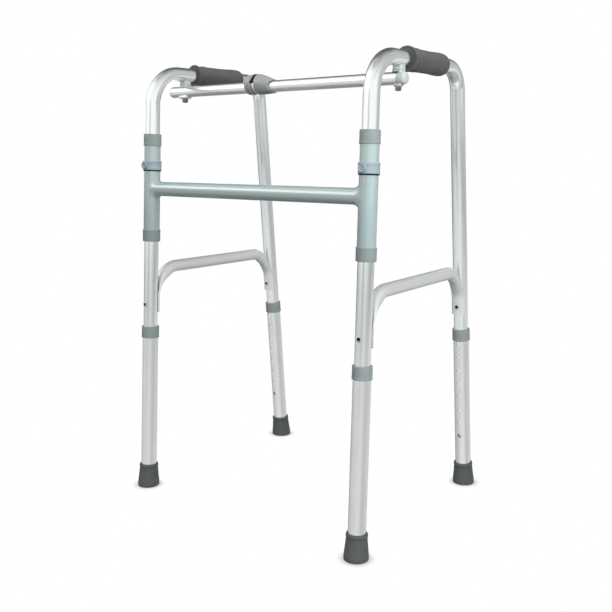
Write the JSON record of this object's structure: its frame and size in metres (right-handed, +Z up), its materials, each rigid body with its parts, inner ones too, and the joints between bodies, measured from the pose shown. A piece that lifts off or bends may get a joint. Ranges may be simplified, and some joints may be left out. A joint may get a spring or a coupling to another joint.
{
  "type": "folding walking frame",
  "caption": "Folding tubular walking frame with two side frames, crossbar, hinged upper bar, handgrips and height-adjustable legs on rubber feet.",
  "frame": {"origin": "on the floor, under the centre of the walker's overall box", "axes": "+Z up; the walker faces -Y, with its crossbar in front and the user behind it at +Y; +X runs across it; left and right in the names are as seen from the front, so left is -X"},
  "size_m": [0.5268, 0.4145, 0.7832],
  "materials": {
    "satin_aluminium": "bright satin anodised",
    "pale_green_paint": "glossy pale grey-green paint",
    "grey_green_plastic": "moulded, satin",
    "blue_grey_plastic": "moulded, satin",
    "dark_grey_grip": "moulded, matte",
    "dark_grey_rubber": "moulded, matte",
    "mid_grey_casting": "cast, painted mid grey",
    "dark_steel": "blackened",
    "bright_steel": "plated"
  },
  "bodies": {
    "front_frame": {"crossbar": "pale_green_paint", "left_lock_ring": "blue_grey_plastic", "left_lower_collar": "grey_green_plastic", "left_sleeve": "pale_green_paint", "left_upper_collar": "grey_green_plastic", "right_lock_ring": "blue_grey_plastic", "right_lower_collar": "grey_green_plastic", "right_sleeve": "pale_green_paint", "right_upper_collar": "grey_green_plastic"},
    "left_side": {"left_bolt": "dark_steel", "left_brace": "satin_aluminium", "left_bracket": "pale_green_paint", "left_front_rivet": "bright_steel", "left_grip": "dark_grey_grip", "left_rear_rivet": "bright_steel", "left_side_tube": "satin_aluminium"},
    "right_side": {"right_bolt": "dark_steel", "right_brace": "satin_aluminium", "right_bracket": "pale_green_paint", "right_front_rivet": "bright_steel", "right_grip": "dark_grey_grip", "right_nut": "dark_steel", "right_rear_rivet": "bright_steel", "right_side_tube": "satin_aluminium"},
    "left_bar": {"hub_ring": "mid_grey_casting", "left_bar_plug": "satin_aluminium", "left_bar_saddle": "pale_green_paint", "left_bar_tube": "satin_aluminium", "left_bolt_end": "dark_steel", "left_nut": "dark_steel", "left_washer": "pale_green_paint"},
    "right_bar": {"hub_core": "mid_grey_casting", "hub_pin": "dark_steel", "right_bar_plug": "pale_green_paint", "right_bar_saddle": "pale_green_paint", "right_bar_tube": "satin_aluminium", "right_washer": "pale_green_paint"},
    "hub_slider": {"hub_sleeve": "mid_grey_casting"},
    "left_peg": {"left_lock_peg": "blue_grey_plastic"},
    "right_peg": {"right_lock_peg": "blue_grey_plastic"},
    "left_front_leg": {"left_front_foot": "dark_grey_rubber", "left_front_leg_collar": "grey_green_plastic", "left_front_leg_tube": "satin_aluminium"},
    "left_front_button": {"left_front_button": "bright_steel"},
    "left_rear_leg": {"left_rear_foot": "dark_grey_rubber", "left_rear_leg_collar": "grey_green_plastic", "left_rear_leg_tube": "satin_aluminium"},
    "left_rear_button": {"left_rear_button": "bright_steel"},
    "right_front_leg": {"right_front_foot": "dark_grey_rubber", "right_front_leg_collar": "grey_green_plastic", "right_front_leg_tube": "satin_aluminium"},
    "right_front_button": {"right_front_button": "bright_steel"},
    "right_rear_leg": {"right_rear_foot": "dark_grey_rubber", "right_rear_leg_collar": "grey_green_plastic", "right_rear_leg_tube": "satin_aluminium"},
    "right_rear_button": {"right_rear_button": "bright_steel"}
  },
  "joints": [
    {"name": "fold", "type": "hinge", "parent": "front_frame", "child": "right_side", "pos_m": [0.24385, -0.16128, 0.59542], "axis": [0, 0.0441, 0.999], "range_deg": [0, 83]},
    {"name": "left_fold", "type": "hinge", "parent": "front_frame", "child": "left_side", "pos_m": [-0.22975, -0.16128, 0.59542], "axis": [0, 0.0441, 0.999], "range_deg": [-55, 0]},
    {"name": "right_bar_pivot", "type": "hinge", "parent": "right_side", "child": "right_bar", "pos_m": [0.24124, -0.07823, 0.7318], "axis": [0, 0.0441, 0.999], "range_deg": [-51.96, 0]},
    {"name": "bar_hinge", "type": "hinge", "parent": "right_bar", "child": "left_bar", "pos_m": [-0.04715, -0.05644, 0.73564], "axis": [0, 0.0441, 0.999], "range_deg": [-103.75, 0]},
    {"name": "hub_slide", "type": "slide", "parent": "right_bar", "child": "hub_slider", "axis": [1, 0, 0], "range_m": [0, 0.012]},
    {"name": "left_peg_pull", "type": "slide", "parent": "front_frame", "child": "left_peg", "axis": [0, -0.999, 0.0441], "range_m": [0, 0.004]},
    {"name": "left_front_press", "type": "slide", "parent": "left_side", "child": "left_front_button", "axis": [-0.0339, -0.9985, 0.0441], "range_m": [0, 0.004], "stiffness_N_per_m": 500},
    {"name": "left_front_extend", "type": "slide", "parent": "left_side", "child": "left_front_leg", "axis": [0, -0.0441, -0.999], "range_m": [0, 0.1778]},
    {"name": "left_rear_press", "type": "slide", "parent": "left_side", "child": "left_rear_button", "axis": [0.0336, 0.9957, 0.086], "range_m": [0, 0.004], "stiffness_N_per_m": 500},
    {"name": "left_rear_extend", "type": "slide", "parent": "left_side", "child": "left_rear_leg", "axis": [0.0044, 0.0859, -0.9963], "range_m": [0, 0.1778]},
    {"name": "right_peg_pull", "type": "slide", "parent": "front_frame", "child": "right_peg", "axis": [0, -0.999, 0.0441], "range_m": [0, 0.004]},
    {"name": "right_front_press", "type": "slide", "parent": "right_side", "child": "right_front_button", "axis": [0.0339, -0.9985, 0.0441], "range_m": [0, 0.004], "stiffness_N_per_m": 500},
    {"name": "right_front_extend", "type": "slide", "parent": "right_side", "child": "right_front_leg", "axis": [0, -0.0441, -0.999], "range_m": [0, 0.1778]},
    {"name": "right_rear_press", "type": "slide", "parent": "right_side", "child": "right_rear_button", "axis": [-0.0336, 0.9957, 0.086], "range_m": [0, 0.004], "stiffness_N_per_m": 500},
    {"name": "right_rear_extend", "type": "slide", "parent": "right_side", "child": "right_rear_leg", "axis": [-0.0044, 0.0859, -0.9963], "range_m": [0, 0.1778]}
  ],
  "couplings": [
    {"joint": "left_fold", "follows": "fold", "ratio": -0.6626},
    {"joint": "right_bar_pivot", "follows": "fold", "ratio": -0.62595},
    {"joint": "bar_hinge", "follows": "fold", "ratio": -1.2499}
  ]
}
